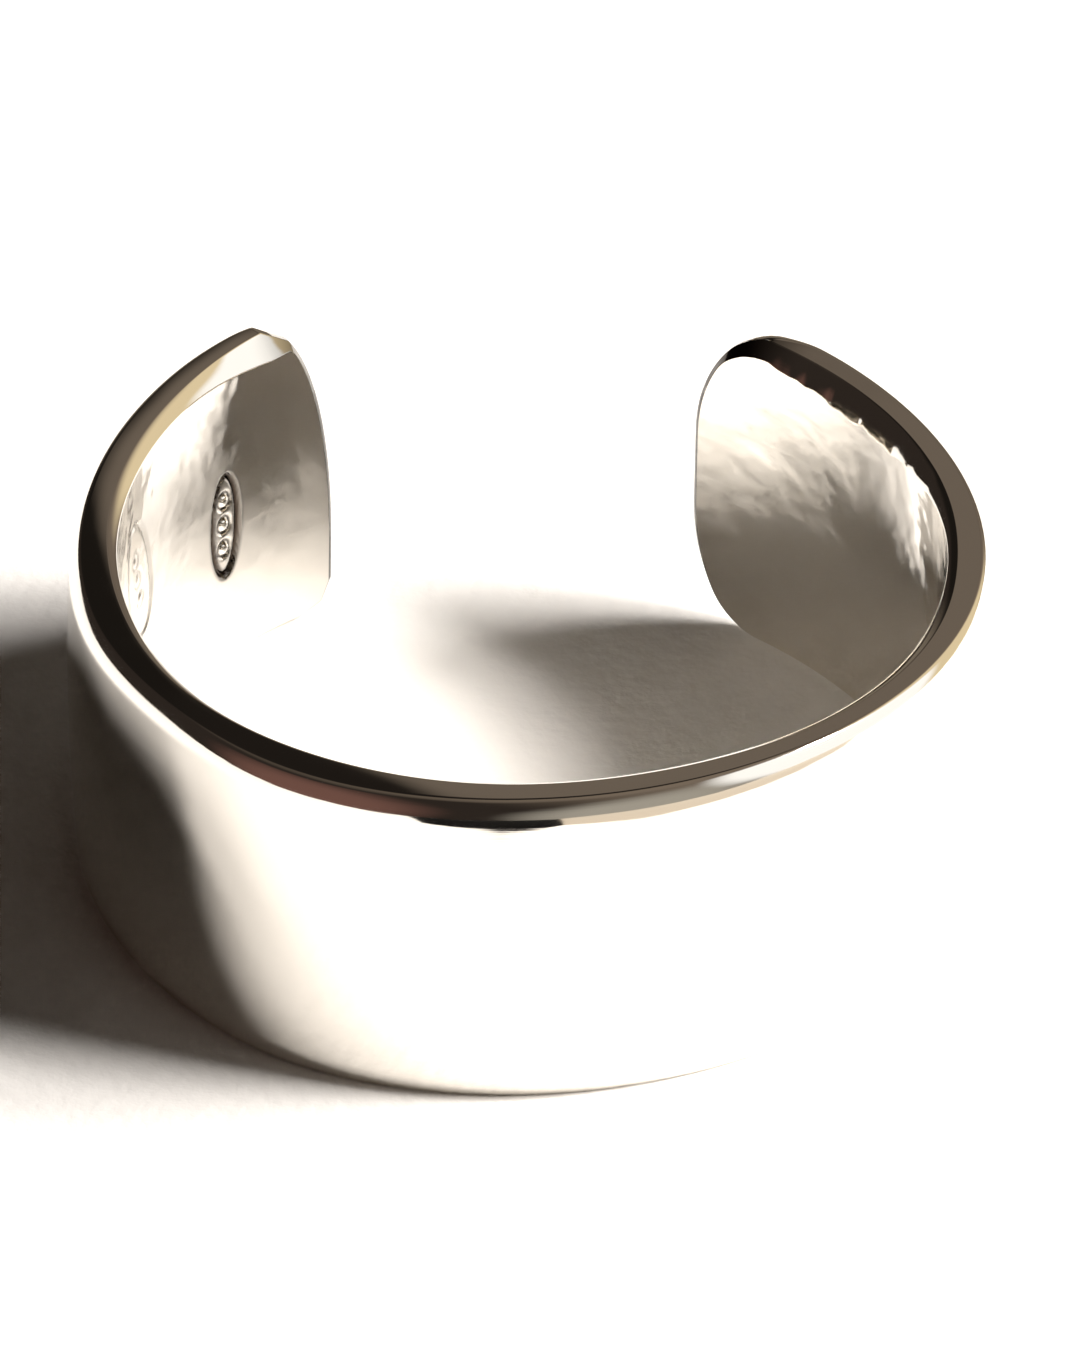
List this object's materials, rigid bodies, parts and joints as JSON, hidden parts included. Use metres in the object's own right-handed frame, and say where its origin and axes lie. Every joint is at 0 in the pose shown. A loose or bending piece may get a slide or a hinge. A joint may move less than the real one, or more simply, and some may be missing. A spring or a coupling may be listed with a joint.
{
  "type": "open band ring",
  "caption": "Wide open band ring of polished silver, one piece, with rounded tongue tips, a gap at the back and plain struck ovals inside.",
  "frame": {"origin": "centre of the finger hole, halfway up the band", "axes": "+Z along the finger hole, up as the ring stands on its edge; +Y towards the gap at the back; +X to the right seen from the closed front"},
  "size_m": [0.0202, 0.0191, 0.0082],
  "materials": {
    "silver": "polished sterling silver"
  },
  "bodies": {
    "root": {"band": "silver"}
  },
  "joints": []
}
